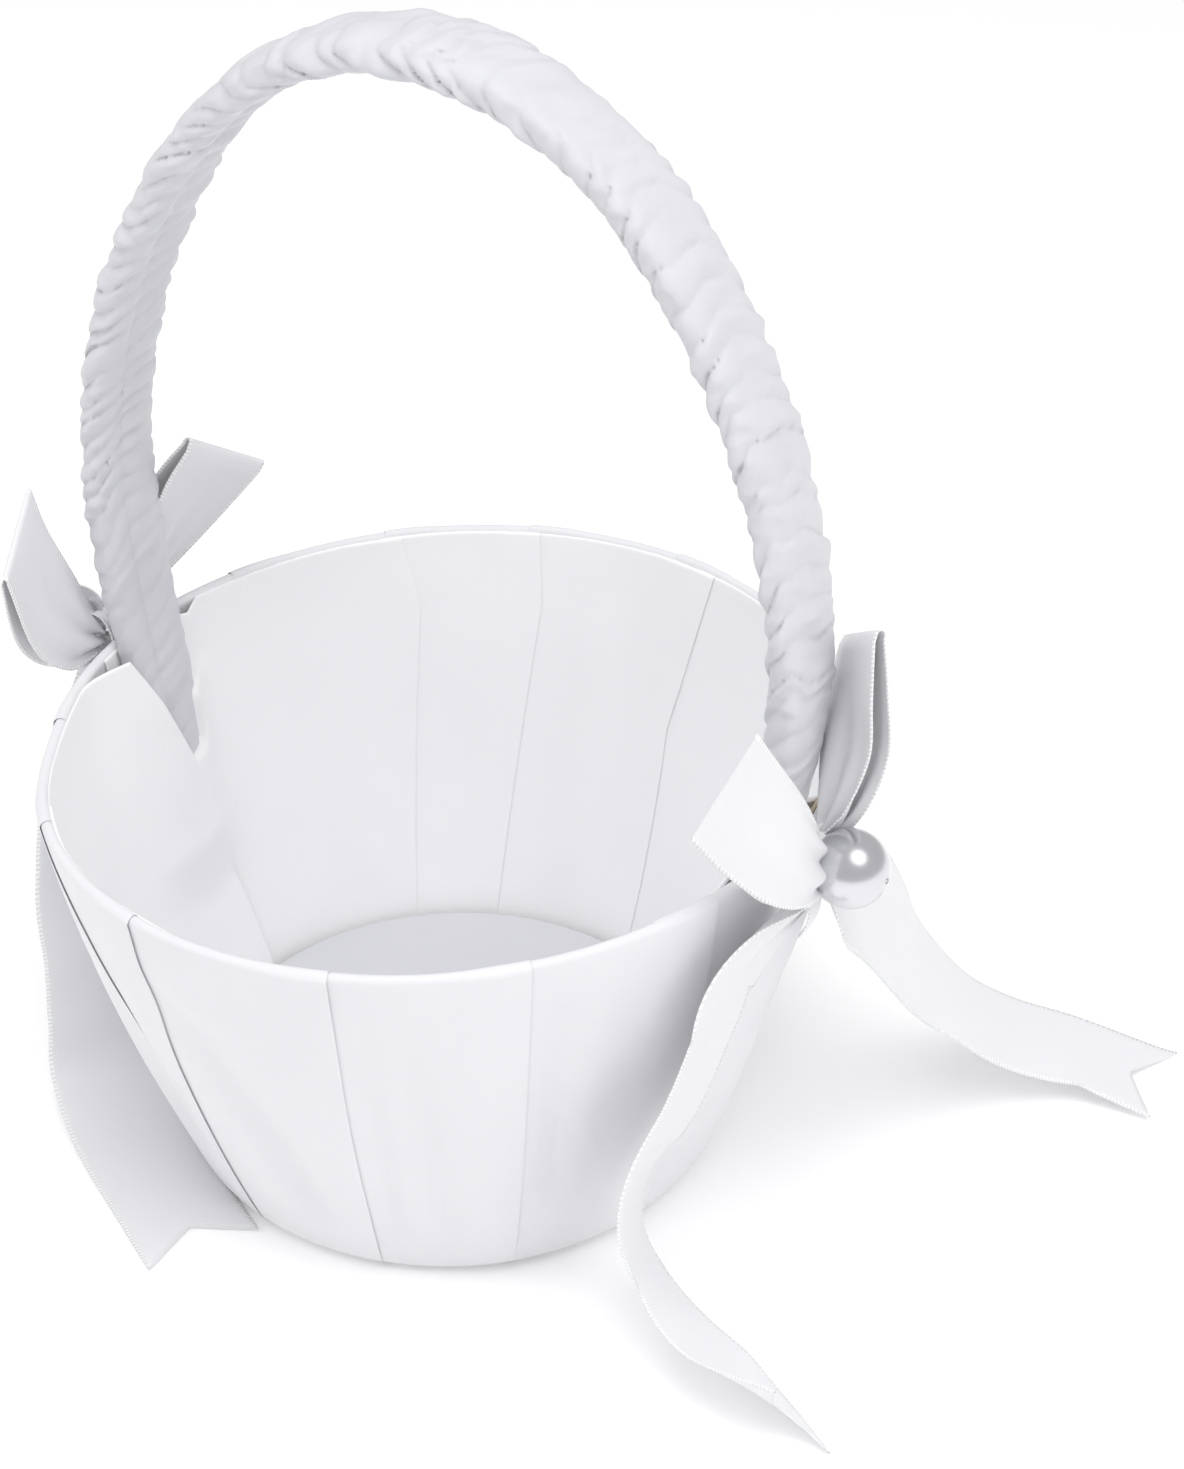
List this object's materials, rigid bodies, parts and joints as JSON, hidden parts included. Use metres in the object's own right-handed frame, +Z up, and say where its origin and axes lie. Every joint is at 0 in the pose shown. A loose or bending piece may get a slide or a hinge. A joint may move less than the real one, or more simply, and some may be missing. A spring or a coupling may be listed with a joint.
{
  "type": "flower girl basket",
  "caption": "Small round satin basket with a pleated cover and lining, an arched gathered handle, and a ribbon bow with a pearl at each handle foot.",
  "frame": {"origin": "centre of the underside of the base, on the surface it stands on", "axes": "+Z up, +X towards the handle foot with the bow nearest the viewer, -Y towards the front"},
  "size_m": [0.2432, 0.1704, 0.2467],
  "materials": {
    "card": "plain grey-brown card",
    "base_felt": "thin white felt",
    "cover_satin": "white satin with a soft sheen",
    "lining_satin": "white satin with a soft sheen",
    "wadding": "loose polyester wadding",
    "core_plastic": "bendable strip",
    "handle_satin": "gathered white satin",
    "ribbon": "white single-face satin ribbon with a woven edge",
    "pearl": "silvery white pearl coating",
    "rivet_metal": "plain"
  },
  "bodies": {
    "root": {"shell_wall": "card", "base_board": "card", "base_sheet": "base_felt", "outer_cover": "cover_satin", "inner_lining": "lining_satin", "floor_card": "card", "floor_wadding": "wadding", "floor_cover": "lining_satin", "handle_core": "core_plastic", "handle_wadding": "wadding", "handle_sleeve": "handle_satin", "foot_rivets": "rivet_metal", "right_knot": "ribbon", "right_front_loop": "ribbon", "right_back_loop": "ribbon", "right_front_tail": "ribbon", "right_back_tail": "ribbon", "right_pearl": "pearl", "left_knot": "ribbon", "left_front_loop": "ribbon", "left_back_loop": "ribbon", "left_front_tail": "ribbon", "left_back_tail": "ribbon", "left_pearl": "pearl", "pearl_pins": "rivet_metal"}
  },
  "joints": []
}
